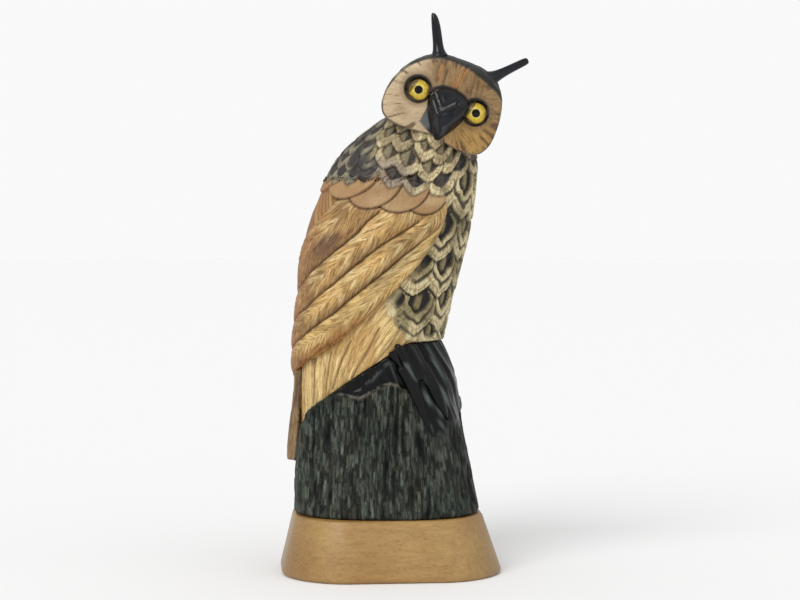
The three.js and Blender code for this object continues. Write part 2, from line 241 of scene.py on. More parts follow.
# The base darkens towards its left and right ends: painted shade where its sides turn from the light.
beside_middle = node("ShaderNodeSeparateXYZ", {"Vector": where})
to_the_end = node("ShaderNodeMath", {0: beside_middle.outputs["X"]}, operation="ABSOLUTE")
end_shade = node(
    "ShaderNodeMapRange",
    {"Value": to_the_end, "From Min": 0.036, "From Max": 0.058, "To Min": 1, "To Max": 0.76},
)
fleck_colour = ramp(
    node, flecks, (0.3, (228, 219, 204)), (0.45, (248, 248, 246)), (0.74, (255, 255, 255))
)


def tinted(node, first, second, share=1, mode="MULTIPLY"):
    """Two colours blended."""
    mixed = node("ShaderNodeMix", data_type="RGBA", blend_type=mode, values={0: share, 6: first, 7: second})
    return mixed.outputs[2]


clouded = tinted(node, wood_colour, cloud_colour)
flecked = tinted(node, clouded, fleck_colour)
feed("Base Color", tinted(node, flecked, end_shade))
feed("Roughness", rescaled(node, grain, 0.36, 0.5))
feed("Normal", bump(node, flecks, 0.25, 0.0002))
feed("Coat Weight", 0.15)
feed("Coat Roughness", 0.3)
base.data.materials.append(pale_wood)

# The screws are zinc-plated, with the plating rubbed at the slot.
zinc, node, feed = new_finish("zinc plate")
where = node("ShaderNodeTexCoord").outputs["Object"]
wear_and_highlight = noise(node, where, 900, 3)
zinc_colour = ramp(node, wear_and_highlight, (0.35, (150, 143, 118)), (0.65, (196, 192, 176)))
feed("Base Color", zinc_colour)
feed("Roughness", rescaled(node, wear_and_highlight, 0.25, 0.5))
feed("Metallic", 1)
refinish(zinc, "base_screw_left", "base_screw_right")


# ---- Stump ----
# A log stained dark green-black. Its sides are gouged into furrowed bark, and the rim where the bird
# sits is left smooth and lacquered black. Two dowels stand in its top.

stump_radius = 43  # mm, about which the bark is laid out
bark_depth = 2.4
groove_depth = 2.2


def carving_copy(node_name, name, grain_size, soften):
    """A finely divided copy of a blocked-out piece, in one skin, for carving. Sizes in metres."""
    piece = frame["nodes"][node_name].copy()
    piece.data = frame["nodes"][node_name].data.copy()
    piece.data.materials.clear()
    piece.name = name
    piece.parent = None
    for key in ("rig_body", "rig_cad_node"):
        del piece[key]
    bpy.context.scene.collection.objects.link(piece)
    choose_only(piece)
    bpy.ops.object.mode_set(mode="EDIT")
    bpy.ops.mesh.select_all(action="SELECT")
    bpy.ops.mesh.remove_doubles(threshold=1e-6)
    bpy.ops.object.mode_set(mode="OBJECT")
    apply_modifier(piece, "REMESH", mode="VOXEL", voxel_size=grain_size)
    apply_modifier(piece, "SMOOTH", factor=0.5, iterations=soften)
    bpy.ops.object.shade_smooth()
    return piece


def skin(piece):
    """The piece's points in millimetres, and the way each faces."""
    count = len(piece.data.vertices)
    points, facing = np.empty(count * 3, np.float32), np.empty(count * 3, np.float32)
    piece.data.vertices.foreach_get("co", points)
    piece.data.vertex_normals.foreach_get("vector", facing)
    return points.reshape(-1, 3).astype(float) * 1000, facing.reshape(-1, 3).astype(float)


def carve(piece, points, facing, lift):
    """Moves every point out by its lift, in millimetres."""
    moved = (points + facing * lift[:, None]) / 1000
    piece.data.vertices.foreach_set("co", moved.astype(np.float32).ravel())
    piece.data.update()


def paint(piece, colour, hair, burn):
    """Keeps on the piece its tint, the run of its fine strokes in mm, and how dark they are burnt."""
    mesh = piece.data
    tint = np.concatenate([colour, np.ones((len(colour), 1))], 1)
    for name, kind, key, values in (
        ("tint", "FLOAT_COLOR", "color", tint),
        ("hair", "FLOAT_VECTOR", "vector", hair),
        ("burn", "FLOAT", "value", burn),
    ):
        mesh.attributes.new(name, kind, "POINT").data.foreach_set(key, values.astype(np.float32).ravel())


def mottle(*axes):
    """Smooth random values from 0 to 1 over up to three axes, a new one at every whole number."""
    count = max(np.size(a) for a in axes)
    places = np.zeros((count, 3))
    for k, values in enumerate(axes):
        places[:, k] = values
    cell = np.floor(places).astype(np.int64)
    part = places - cell
    part = part * part * (3 - 2 * part)
    value = np.zeros(count)
    for corner in np.ndindex(2, 2, 2):
        mixed = (cell + corner) @ np.array([73856093, 19349663, 83492791])
        mixed = (mixed ^ (mixed >> 13)) * 1274126177 & 0xFFFFFFFF
        mixed = (mixed ^ (mixed >> 16)) & 0xFFFF
        share = np.prod(np.where(np.array(corner) == 1, part, 1 - part), 1)
        value += share * mixed / 65535
    return value


def ease(low, high, value):
    """0 at low, 1 at high, and smooth between them. low may be the greater."""
    t = np.clip((value - low) / (high - low), 0, 1)
    return t * t * (3 - 2 * t)


def between(low, high, value, soft):
    """1 from low to high, and 0 outside, with soft edges."""
    return ease(low - soft, low + soft, value) * (1 - ease(high - soft, high + soft, value))


def ridge(value):
    """Turns smooth mottling into sharp ridges with broad furrows between them."""
    return np.clip(1 - 3.2 * np.abs(value - 0.5), 0, 1)


def mix(first, second, share):
    """Blends two colours by a share for each point. A tuple is a colour from 0 to 255."""
    first, second = (linear(*colour) if isinstance(colour, tuple) else colour for colour in (first, second))
    return first + (second - first) * np.asarray(share)[:, None]


stump = carving_copy("stump", "carved_stump", 0.0007, 5)
points, facing = skin(stump)
x, y, z = points.T
angle = np.arctan2(y, x + 5)
around = angle * stump_radius
sway = 1.2 * (mottle(around / 12, z / 22, 3) - 0.5) + 3 * (mottle(around / 30, z / 60, 9) - 0.5)
ribs = ridge(mottle((around + sway) / 3.1, z / 24, 1.5)) ** 0.8
strips = ridge(mottle((around + 1.5 * sway) / 1.7, z / 9, 5.5))
steps = mottle((around + sway) / 2.3, z / 5, 7.5)
relief = 0.55 * ribs + 0.25 * strips + 0.35 * steps
# The lacquer covers what is above this line round the stump, in degrees and mm. It has a raised rim.
edge_round = [-180, -131, -120, -108, -95, -81, -70, -59, -52, -44, -36, -22, -10, 20, 100, 180]
edge_height = [97, 97, 96, 96, 100, 102.7, 101, 96.5, 90, 76, 79, 84, 82, 92, 100, 97]
over_edge = z - np.interp(np.degrees(angle), edge_round, edge_height) + 1.5 * (mottle(around / 4, 4) - 0.5)
# Beyond the near foot the lacquer fades into the bark.
fading = ease(-52, -40, np.degrees(angle)) * ease(140, 110, np.degrees(angle))
over_edge += 9 * fading * (mottle(around / 2.6, z / 30, 71) - 0.5)
lacquered = ease(-1, 1, over_edge / (0.8 + 3.5 * fading))
rim = between(-1, 1.4, over_edge, 0.6) * between(-125, -40, np.degrees(angle), 6)
fold = between(2, 4, over_edge - 0.35 * (around + 84), 1.1) * between(-112, -78, np.degrees(angle), 6)
# Grooves run down through the lacquer, between and beside the toes.
along_toes = around + 0.55 * (z - 100)
toe_grooves = mottle(along_toes / 3.6, z / 30, 14)
level = ease(0.75, 0.9, np.abs(facing[:, 2]))
lift = bark_depth * (relief - 0.6) * (1 - lacquered) + groove_depth * (toe_grooves - 0.5) * lacquered
lift += 0.7 * rim + 1.1 * fold
carve(stump, points, facing, lift * (1 - level) * ease(32.5, 34, z))
# The bark is tinted by its relief, dark in the furrows and grey-green on the ridges: partly the stain,
# partly painted shade in the furrows and painted highlights on the ridges.
stump_colour = mix((13, 15, 14), (114, 122, 109), np.clip(relief * 1.5 - 0.3, 0, 1) ** 1.1)
# Painted shade: the stump is darker towards its right side.
stump_colour = stump_colour * (1 - 0.32 * ease(0, 38, x))[:, None]
mossy = ease(0.5, 0.8, mottle(around / 9, z / 13, 11)) * relief
brown = ease(0.6, 0.85, mottle(around / 4, z / 12, 21)) * relief
stump_colour = mix(stump_colour, (60, 80, 68), 0.35 * mossy)
stump_colour = mix(stump_colour, (92, 80, 58), 0.35 * brown)
# Painted highlights: light grey streaks along the lacquer, between its grooves.
streaks = ease(0.62, 0.85, toe_grooves) * ease(0.45, 0.7, mottle(along_toes / 4, z / 11, 44))
stump_colour = mix(stump_colour, mix((11, 12, 13), (92, 101, 101), 0.8 * streaks), lacquered)
# Painted highlights, in patches, along the raised rim and the fold above it.
rim_highlight = rim * ease(0.3, 0.7, mottle(around / 3, z / 3, 31))
fold_highlight = fold * ease(0.3, 0.6, mottle(around / 6, z / 9, 35))
stump_colour = mix(stump_colour, (104, 99, 86), 0.7 * rim_highlight)
stump_colour = mix(stump_colour, (74, 80, 80), 0.6 * fold_highlight)
paint(stump, stump_colour, np.stack([around + sway, z, np.zeros(len(z))], 1), 0.9 * (1 - lacquered))
fit_in(stump, "bark", "stump")


def painted(node):
    """What paint() keeps on a piece: its tint, the run of its strokes, and how dark they are burnt."""
    kept = (("tint", "Color"), ("hair", "Vector"), ("burn", "Fac"))
    return [node("ShaderNodeAttribute", attribute_name=name).outputs[kind] for name, kind in kept]


bark, node, feed = new_finish("stained bark")
tint, hair, burn = painted(node)
fibre_place = node("ShaderNodeMapping", {"Vector": hair, "Scale": (1.5, 0.24, 1)})
fibres = noise(node, fibre_place, 1, 5)
fibre_colour = ramp(node, fibres, (0.38, 0.3), (0.5, 0.7), (0.62, 1))
# Narrow upright chips, each of its own lightness, with dark gaps between them.
chip_place = node("ShaderNodeMapping", {"Vector": hair, "Scale": (0.6, 0.13, 1)})
chips = node("ShaderNodeTexVoronoi", {"Vector": chip_place, "Scale": 1}, distance="CHEBYCHEV")
chip_parts = node("ShaderNodeSeparateColor", {"Color": chips.outputs["Color"]})
chip_colour = ramp(node, chip_parts.outputs["Red"], (0.1, 0.38), (0.6, 0.58), (0.95, 1))
chip_edge = ramp(node, chips.outputs["Distance"], (0.34, 1), (0.52, 0.2))
fibrous = tinted(node, tint, fibre_colour, burn)
chipped = tinted(node, fibrous, chip_colour, burn)
feed("Base Color", tinted(node, chipped, chip_edge, burn))
gloss = node("ShaderNodeMapRange", {"Value": burn, "From Max": 0.9, "To Min": 0.22, "To Max": 0.6})
feed("Roughness", gloss)
feed("Specular IOR Level", 0.17)
both = node("ShaderNodeMath", {0: fibres, 1: chip_parts.outputs["Red"]}, operation="ADD")
rough = node("ShaderNodeMath", {0: both, 1: burn}, operation="MULTIPLY")
feed("Normal", bump(node, rough, 1, 0.0011))
stump.data.materials.append(bark)

# The dowels, in the stump and in the neck, are bare birch.
birch, node, feed = new_finish("bare birch")
where = node("ShaderNodeTexCoord").outputs["Object"]
along = node("ShaderNodeMapping", {"Vector": where, "Scale": (900, 900, 70)})
grain = noise(node, along, 1, 3)
birch_colour = ramp(node, grain, (0.35, (186, 152, 104)), (0.65, (212, 181, 134)))
feed("Base Color", birch_colour)
feed("Roughness", 0.7)
refinish(birch, "stump_dowel_front", "stump_dowel_back", "neck_dowel")


# ---- Body ----
# One block of light wood: the back, the flanks, the neck and the breast. Its feathers are cut with a
# gouge, then every barb is burnt in with a hot wire and the wood is tinted, cream, grey and brown.

girth = 41  # mm, the radius about which the plumage is laid out
deeper_than_wide = 1.16
bird_turn = radians(-15)


def turned_to_bird(vectors):
    """The two level directions of the bird's own frame: to its fore, and to its left."""
    x, y = vectors[:, 0], vectors[:, 1]
    return x * cos(bird_turn) + y * sin(bird_turn), y * cos(bird_turn) - x * sin(bird_turn)


def on_the_bird(points):
    """Each point's place round the bird, in mm: 0 at its flank, negative to its back, positive to its
    breast, and the same on both sides of it. With it, the point's height, and which side it is on."""
    fore, left = turned_to_bird(points)
    height = points[:, 2]
    middle = np.interp(height, [108, 138, 170, 202, 228, 250], [-12, -9, -3, 4, 11.5, 22])
    return girth * np.arctan2(fore - middle, deeper_than_wide * np.abs(left)), height, np.sign(left)


def scales(around, height, rows):
    """Overlapping pointed scales, the upper rows over the lower. Each row is (height of its scales' upper
    points, place of one of them, spacing, length, half width). Gives each point's share of the way from
    its scale's upper point to its rim, its place across, its scale's length, a number for its scale, and
    how far below the rim of the scale above it is."""
    count = len(around)
    share, across, length, which = np.full(count, 2.0), np.zeros(count), np.ones(count), np.zeros(count)
    beyond = np.full(count, 9.0)
    for row, (top, start, spacing, long, half) in reversed(list(enumerate(rows))):
        column = np.round((around - start) / spacing)
        # Cut by eye, no two scales are quite alike.
        x = around - start - column * spacing - (mottle(7 * row + 3, column) - 0.5) * 0.22 * spacing
        y = (top - height) / long + (mottle(5 * row + 1, column + 40) - 0.5) * 0.16
        narrow = 1 - np.abs(x) / (4 * half * np.maximum(y, 1e-4))
        rho = np.where((y > 0) & (narrow > 0.02), y / np.maximum(narrow, 0.02), 9)
        inside = rho < 1
        beyond = np.where(inside, 9, np.minimum(beyond, np.where(rho < 3, (rho - 1) * long * 0.7, 9)))
        share = np.where(inside, rho, share)
        across = np.where(inside, x / half, across)
        length = np.where(inside, long, length)
        which = np.where(inside, row * 31 + column, which)
    return share, across, length, which, beyond


def beside(around, height, line):
    """How far each point is from a line of (around, height) points, in mm. It is positive on the left of
    a walk along the line, looked at from outside with the breast to the right."""
    best, signed = np.full(len(around), 1e9), np.zeros(len(around))
    line = np.array(line, float)
    for start, end in zip(line[:-1], line[1:]):
        run = end - start
        t = np.clip(((around - start[0]) * run[0] + (height - start[1]) * run[1]) / (run @ run), 0, 1)
        dx, dy = around - start[0] - t * run[0], height - start[1] - t * run[1]
        distance = np.hypot(dx, dy)
        nearer = distance < best
        best[nearer] = distance[nearer]
        signed[nearer] = (np.where(run[0] * dy - run[1] * dx > 0, 1, -1) * distance)[nearer]
    return signed


# The line where the neck's plumage hangs over the wings and the breast: places round, and heights.
fringe = (
    [-64, -31, -16, 0, 9, 18, 26, 34, 42, 64],
    [210.5, 210.5, 210.5, 209, 206, 202, 201, 205, 212, 215],
)
# Rows of scales, as scales() wants them. Those of the neck and the back are in heights over the fringe.
breast_rows = [
    (219, 50, 20, 31, 13.5),
    (196, 39, 19.5, 27, 12.5),
    (176, 47, 20, 27, 12.5),
    (157, 35, 20, 26, 12.5),
    (139, 45, 20, 23, 12),
]
neck_rows = [(14.5 + 9 * i, 3 + 7 * (i % 2), 14, 15.5, 8) for i in reversed(range(5))]
back_rows = [(10.5 + 7.5 * i, 5 * (i % 2), 10, 12, 6) for i in reversed(range(6))]


def neck_plumage(around, height):
    """The neck's small scales: cream lace at the throat, dark grey on the back. Gives the lift, colour,
    the strokes' run, whether a point is on a scale at all, and how far below a rim it is."""
    over = height - np.interp(around, *fringe)
    share, across, long, which, beyond = scales(around, over, neck_rows)
    rim = between(0.66, 1.0, share, 0.03) - 0.4 * between(0.8, 0.85, share, 0.015)
    low_row = ease(16, 9, over)
    hollow = 1 - ease(0.56, 0.66, share - 0.13 * low_row)
    leaf = between(-0.5, 0.1, across, 0.08) * hollow * (1 - 0.8 * low_row)
    # Painted shadow: just below the rim of the scale above, the wood dips and is darkened.
    shadow_under_rim = 1 - ease(0, 1.2, beyond)
    lift = 0.9 * rim - 0.9 * hollow + 0.5 * leaf - 0.7 * shadow_under_rim
    faded = ease(0.3, 0.7, mottle(around / 7, height / 6, 27))
    cream = mix((168, 156, 126), (218, 207, 172), faded)
    colour = mix(cream, (118, 104, 84), 1 - np.clip(rim, 0, 1))
    colour = mix(colour, (140, 128, 128), 0.75 * low_row * rim * ease(24, 8, around))
    colour = mix(colour, (56, 50, 46), hollow)
    colour = mix(colour, (50, 45, 52), 0.9 * low_row * hollow)
    colour = mix(colour, (154, 146, 120), 0.8 * leaf)
    colour = mix(colour, (50, 43, 38), 0.85 * shadow_under_rim)
    run = np.stack([np.arctan2(across, 1.6 * (share - 0.35)) * 6, share * long, which], 1)

    b_share, _, _, b_which, b_beyond = scales(around, over, back_rows)
    b_rim = between(0.7, 1.0, b_share, 0.04)
    # Painted shadow below the rim of each back scale above.
    back_shadow_under_rim = 1 - ease(0, 1, b_beyond)
    b_lift = 0.45 * b_rim - 0.35 * (1 - ease(0.5, 0.7, b_share)) - 0.4 * back_shadow_under_rim
    b_faded = ease(0.25, 0.75, mottle(around / 6, height / 5, 33))
    b_colour = mix((62, 59, 59), (150, 145, 130), b_rim * b_faded)
    b_colour = mix(b_colour, (50, 47, 46), 0.8 * back_shadow_under_rim)
    to_back = ease(-4, -16, around + 0.5 * (over - 8))
    lift = lift + (b_lift - lift) * to_back
    colour = mix(colour, b_colour, to_back)
    run = np.where(to_back[:, None] > 0.5, np.stack([around, over, b_which], 1), run)
    on_scale = np.where(to_back > 0.5, (b_share < 1) | (over > 3), (share < 1) | (over > 8))
    return lift, colour, run, on_scale, np.where(to_back > 0.5, b_beyond, beyond)


body = carving_copy("body", "carved_body", 0.00068, 10)
points, facing = skin(body)
around, height, _ = on_the_bird(points)

# The breast: a raised cream rim, a dark cut, a second rim, and a deep dark hollow with a leaf in it.
share, across, long, which, beyond = scales(around, height, breast_rows)
share = share + 0.09 * (mottle(around / 3.5, height / 3.5, 61) - 0.5)
rim = between(0.56, 0.7, share, 0.02) + between(0.79, 1.0, share, 0.02)
rim -= 0.45 * between(0.89, 0.92, share, 0.01)
groove = 1 - np.clip(rim, 0, 1)
hollow = (1 - ease(0.52, 0.58, share)) * ease(0.78, 0.66, np.abs(across))
breast_line = [(26, 224), (32, 204), (34, 190), (32, 178), (25, 166), (17, 155)]
breast_line += [(13, 146), (21, 135), (28, 127), (38, 124), (66, 120)]
border = beside(around, height, breast_line)
# Towards the flank the cuts grow shallow.
inner = np.maximum(ease(3, 8, border), ease(160, 170, height))
hollow *= inner
leaf = between(-0.4, -0.06, across - 0.15 * np.sin(share * 5), 0.06) * between(0.2, 0.46, share, 0.05)
# Painted shadow: just below the rim of the scale above, the wood dips and is darkened.
shadow_under_rim = 1 - ease(0, 1.6, beyond)
faded = mottle(around / 8, height / 11, 17)
breast_lift = 0.8 * rim - 1.3 * hollow + 1.1 * leaf * hollow - 0.7 * shadow_under_rim
breast_colour = mix((150, 142, 108), (218, 208, 172), ease(0.3, 0.7, faded))
breast_colour = mix(breast_colour, (74, 66, 46), groove * inner)
breast_colour = mix(breast_colour, (22, 21, 18), hollow)
breast_colour = mix(breast_colour, (140, 130, 96), leaf * hollow)
breast_colour = mix(breast_colour, (48, 42, 34), 0.85 * shadow_under_rim)
breast_run = np.stack([np.arctan2(across, 1.6 * (share - 0.35)) * 9, share * long, which], 1)

# The flank, under the wing and down to the tail, has long streaks and a few deeper cuts.
flank_cuts = [
    [(13, 133), (8, 121), (0, 106)],
    [(25, 133), (20, 124), (12, 113)],
    [(-2, 126), (-7, 114), (-12, 100)],
    [(-13, 120), (-15, 108), (-17, 96)],
    [(-24, 116), (-25, 104), (-27, 92)],
    [(-36, 112), (-36, 98), (-37, 84)],
    [(-47, 108), (-46, 96), (-46, 80)],
]
slant = np.interp(around, [-60, -40, -15, 6, 25, 40], [-2, 2, 9, 26, 38, 44])
run = around - (height - 120) * np.tan(np.radians(slant)) * 0.9
cuts = np.zeros(len(around))
for line in flank_cuts:
    cuts = np.maximum(cuts, 1 - ease(0.2, 1.0, np.abs(beside(around, height, line))))
streaks = mottle(run / 1.15, height / 18, 2)
flank_lift = 0.45 * (streaks - 0.5) - 0.7 * cuts
flank_colour = mix((196, 164, 110), (240, 216, 160), ease(0.15, 0.75, streaks))
golden = ease(0.5, 0.8, mottle(around / 9, height / 14, 4))
flank_colour = mix(flank_colour, (186, 142, 78), 0.5 * golden)
flank_colour = mix(flank_colour, (116, 86, 50), 0.7 * cuts)
flank_run = np.stack([1.3 * run, height, np.zeros(len(run))], 1)

# Above the wings it is plain, like their shoulders.
flank_colour = mix(flank_colour, (160, 130, 92), ease(203, 207, height))
flank_run = np.where(height[:, None] > 205, 0.3 * flank_run, flank_run)

on_breast = ease(-0.5, 0.5, border + 3 * (mottle(around / 2.4, height / 6, 91) - 0.5))
neck_lift, neck_colour, neck_run, on_scale, _ = neck_plumage(around, height)
on_neck = (on_scale | (height > np.interp(around, *fringe) + 9)).astype(float)
lift = 0.85 * flank_lift * (1 - on_breast) + breast_lift * on_breast
lift = lift * (1 - on_neck) + neck_lift * on_neck
colour = mix(mix(flank_colour, breast_colour, on_breast), neck_colour, on_neck)
hair = np.where(on_neck[:, None] > 0.5, neck_run, np.where(on_breast[:, None] > 0.5, breast_run, flank_run))
hatch = mottle(hair[:, 0] / 1.25, hair[:, 1] / 7, hair[:, 2])
lift += 0.3 * (hatch - 0.5) * (on_breast + on_neck > 0.5)
lift[facing[:, 2] < -0.6] = 0
carve(body, points, facing, lift)
paint(body, colour, hair, np.full(len(around), 0.75))
fit_in(body, "carved_wood", "body")

burnt_wood, node, feed = new_finish("burnt and tinted wood")
tint, hair, burn = painted(node)
barb_place = node("ShaderNodeMapping", {"Vector": hair, "Scale": (1.3, 0.17, 1)})
barbs = noise(node, barb_place, 1, 2, Roughness=0.6)
barb_colour = ramp(node, barbs, (0.36, (152, 128, 96)), (0.47, (226, 216, 200)), (0.6, (255, 255, 255)))
barbed = tinted(node, tint, barb_colour, burn)
where = node("ShaderNodeTexCoord").outputs["Object"]
pores = noise(node, where, 1400, 2)
pore_colour = ramp(node, pores, (0.3, (225, 220, 204)), (0.5, (255, 252, 242)))
feed("Base Color", tinted(node, barbed, pore_colour))
feed("Roughness", rescaled(node, barbs, 0.62, 0.42))
cut = node("ShaderNodeMath", {0: barbs, 1: burn}, operation="MULTIPLY")
feed("Normal", bump(node, cut, 0.6, 0.0004))
feed("Specular IOR Level", 0.4)
body.data.materials.append(burnt_wood)


# ---- Wings ----
# Two curved slabs glued over the flanks, one each side. The shoulder is cut in smooth scallops, and the
# long flight feathers below it are rounded over, with a groove between each and the next.

# Scallops of the shoulder, from the back to the fore edge: (around, height, radius).
scallops = [(-44, 228, 23), (-20, 219, 18), (-4, 210, 14), (11, 208, 14), (24, 204, 11)]
# The grooves over each flight feather, and then the wing's own lower edge: (around, height) points.
feather_edges = [
    [(2, 194), (-3, 189), (-6, 183), (-11, 178), (-21, 169), (-37, 157), (-64, 143)],
    [(22, 189), (16, 184), (7, 177), (0, 170), (-14, 156), (-31, 143), (-64, 128)],
    [(33, 186), (27, 180), (18, 171), (11, 163), (0, 152), (-12, 140), (-31, 128), (-64, 114)],
    [(42, 200), (43, 190), (41, 178), (36, 168), (27, 158), (17, 145), (4, 134)]
    + [(-11, 124), (-26, 115), (-38, 109), (-64, 102)],
]
feather_tones = [(180, 144, 94), (202, 168, 112), (206, 173, 114), (208, 179, 120)]

for node_name in ("right_wing", "left_wing"):
    wing = carving_copy(node_name, "carved_" + node_name, 0.0006, 6)
    points, facing = skin(wing)
    around, height, side = on_the_bird(points)
    # Only what faces out of the bird is carved, and the glued inside stays plain.
    fore, left = turned_to_bird(facing)
    outside = ease(0.15, 0.6, fore * np.sin(around / girth) + left * side * np.cos(around / girth))

    gaps = [beside(around, height, line) for line in feather_edges]
    uppers = [gaps[0] + 24] + gaps[:3]
    down_wing = -0.8 * around - 0.6 * height
    count = len(around)
    lift, tint, hair = np.zeros(count), np.zeros((count, 3)), np.zeros((count, 3))
    for number, (upper, lower, tone) in enumerate(zip(uppers, gaps, feather_tones)):
        within = (upper > 0) | (number == 0)
        width = np.maximum(upper - lower, 1)
        t = np.clip(upper / width, 0, 1)
        off_shaft = (t - 0.46) * width + 1.6 * (mottle(down_wing / 17, number + 60) - 0.5)
        # The barbs leave the shaft at a narrow angle, wider on its lower side.
        spread = np.where(off_shaft > 0, 0.55, 0.36)
        stray = 2.5 * mottle(down_wing / 14, off_shaft / 6, number + 80)
        barb = np.abs(off_shaft) - spread * down_wing + stray
        along = down_wing + spread * np.abs(off_shaft)
        waves = mottle(barb / 1.15, along / 9, number * 7 + 3 * (off_shaft > 0))
        new_lift = 1.7 * np.sqrt(np.clip(4 * t * (1 - t), 0, 1)) - 1.1 + 0.4 * (waves - 0.5)
        # Each feather is darker towards its edges: partly burnt, partly painted shade where it curves down
        # into its groove.
        burn_and_shade = np.clip(0.85 * ease(0.55, 1.0, t) + 0.5 * ease(0.1, 0, t), 0, 1)
        cloud = mottle(down_wing / 13, off_shaft / 6, number + 40)
        new_tint = mix(linear(*tone) * 0.68, linear(*tone) * 1.15, ease(0.25, 0.75, cloud))
        new_tint = mix(new_tint, (140, 104, 60), 0.75 * burn_and_shade)
        new_tint = mix(new_tint, (244, 228, 184), 0.5 * ease(0.55, 0.8, waves) * (1 - burn_and_shade))
        new_tint = mix(new_tint, (140, 108, 66), 0.5 * ease(0.42, 0.2, waves))
        lift[within] = new_lift[within]
        tint[within] = new_tint[within]
        hair[within] = np.stack([barb, along, np.full(count, number)], 1)[within]
    for gap in gaps[:3]:
        line = ease(0.9, 0.1, np.abs(gap)) * ease(36, 16, around)
        lift -= 0.7 * line
        tint = mix(tint, (84, 58, 34), 0.85 * line)
    # A darker violet-brown patch lies behind the shoulder.
    patch = ease(1.2, 0.5, np.hypot((around + 22) / 9, (height - 177) / 7 - (around + 22) / 18))
    tint = mix(tint, (96, 68, 62), 0.6 * patch)
    # The shoulder lies over the flight feathers.
    burn = np.full(count, 0.85)
    for number, (at, centre, radius) in reversed(list(enumerate(scallops))):
        distance = np.hypot(around - at, height - centre)
        # The first of them runs on up under the neck's plumage.
        inside = (distance < radius) | ((number == 0) & (height > 213))
        plain = mix((156, 122, 82), (184, 156, 118), mottle(around / 9, height / 5, number))
        plain = mix(plain, (166, 124, 82), 0.45 * ease(2, -26, around))
        fore_part = ease(-44, -28, around)
        raised = 0.9 * ease(radius - 9, radius - 0.8, distance) * fore_part * (distance < radius)
        lift[inside] = (raised + 0.1)[inside]
        tint[inside] = plain[inside]
        hair[inside] = np.stack([around, height, np.full(count, 9 + number)], 1)[inside]
        burn[inside] = 0.15
        edge = ease(0.9, 0.15, np.abs(distance - radius - 0.3)) * fore_part * (height < centre)
        lift -= 0.7 * edge
        tint = mix(tint, (92, 62, 38), 0.85 * edge)
    # The back of the wing is darker, and its lower edge is rounded over.
    tint = mix(tint, (158, 104, 54), 0.65 * ease(-20, -48, around))
    lift -= 1.1 * ease(-3.5, 0.2, gaps[3])
    tint = mix(tint, (164, 112, 54), 0.75 * ease(-9, -1, gaps[3]))
    # The neck's plumage hangs over the top of the wing.
    neck_lift, neck_colour, neck_run, on_scale, neck_beyond = neck_plumage(around, height)
    lift = np.where(on_scale, neck_lift + 0.5, lift)
    tint[on_scale] = neck_colour[on_scale]
    hair[on_scale] = neck_run[on_scale]
    burn[on_scale] = 0.75
    # Painted shadow on the wing just below the neck's scales.
    tint = mix(tint, (92, 72, 52), 0.6 * ease(1.3, 0, neck_beyond) * ~on_scale)
    # Its top edge is fitted close to the neck.
    close = 0.8 * ease(0.1, 0.5, facing[:, 2]) * ease(196, 204, height)
    carve(wing, points, facing, lift * outside + close * (1 - outside))
    paint(wing, tint, hair, burn)
    wing.data.materials.append(burnt_wood)
    fit_in(wing, "carved_wood", node_name)


# ---- Tail ----
# A flat fan of long feathers, glued on below the wings and running down the back of the stump.

tail = carving_copy("tail", "carved_tail", 0.0006, 6)
points, facing = skin(tail)
fore, across = turned_to_bird(points)
height = points[:, 2]
# Seven feathers side by side, each with its barbs running down and out from its shaft.
vane = across / (4.2 + 1.8 * ease(60, 110, height))
feather = np.round(vane)
off_shaft = (vane - feather) * 5
# On the tail's two edges the strokes run straight down.
barb = np.where(np.abs(turned_to_bird(facing)[1]) > 0.6, fore, np.abs(off_shaft) + 0.35 * height)
waves = mottle(barb / 1.2, height / 12, feather)
seams = ease(1.9, 2.4, np.abs(off_shaft))
lift = 0.35 * (waves - 0.5) - 0.8 * seams * (np.abs(turned_to_bird(facing)[1]) < 0.6)
# It is thicker where it lies against the body and the stump.
lift += 1.5 * ease(0.2, 0.7, turned_to_bird(facing)[0])
tail_colour = mix((150, 122, 80), (214, 188, 138), ease(0.25, 0.75, waves))
tail_colour = mix(tail_colour, (80, 58, 42), 0.85 * seams)
tail_colour = mix(tail_colour, (112, 92, 72), 0.5 * ease(0.3, 0.8, -turned_to_bird(facing)[0]))
tail_colour = mix(tail_colour, (116, 92, 74), 0.75 * ease(104, 84, height))
carve(tail, points, facing, lift)
paint(tail, tail_colour, np.stack([barb, height, feather], 1), np.full(len(height), 0.7))
tail.data.materials.append(burnt_wood)
fit_in(tail, "carved_wood", "tail")


# ---- Feet ----
# Carved with long toes that grip the bark, and lacquered glossy black like the smooth rim above them.

lacquer, node, feed = new_finish("black lacquer")
where = node("ShaderNodeTexCoord").outputs["Object"]
smudge = noise(node, where, 160, 3)
tint = node("ShaderNodeAttribute", attribute_name="tint")
smudge_colour = ramp(node, smudge, (0.35, 0.6), (0.65, 1))
feed("Base Color", tinted(node, tint, smudge_colour))
feed("Specular IOR Level", 0.2)
feed("Roughness", rescaled(node, smudge, 0.14, 0.28))
feed("Normal", bump(node, smudge, 0.3, 0.0004))

for node_name in ("right_foot", "left_foot"):
    foot = carving_copy(node_name, "carved_" + node_name, 0.0006, 45)
    points, facing = skin(foot)
    x, y, z = points.T
    # The grooves and the painted highlight streaks run on over the foot from the wood beside it.
    along_toes = np.arctan2(y, x + 5) * stump_radius + 0.55 * (z - 100)
    toe_grooves = mottle(along_toes / 3.6, z / 30, 14)
    streaks = ease(0.6, 0.85, toe_grooves) * ease(0.4, 0.7, mottle(along_toes / 4, z / 11, 44))
    carve(foot, points, facing, 0.6 + 2.4 * (toe_grooves - 0.5))
    paint(foot, mix((11, 12, 13), (92, 101, 101), 0.8 * streaks), points, np.zeros(len(z)))
    foot.data.materials.append(lacquer)
    fit_in(foot, "black_lacquer", node_name)


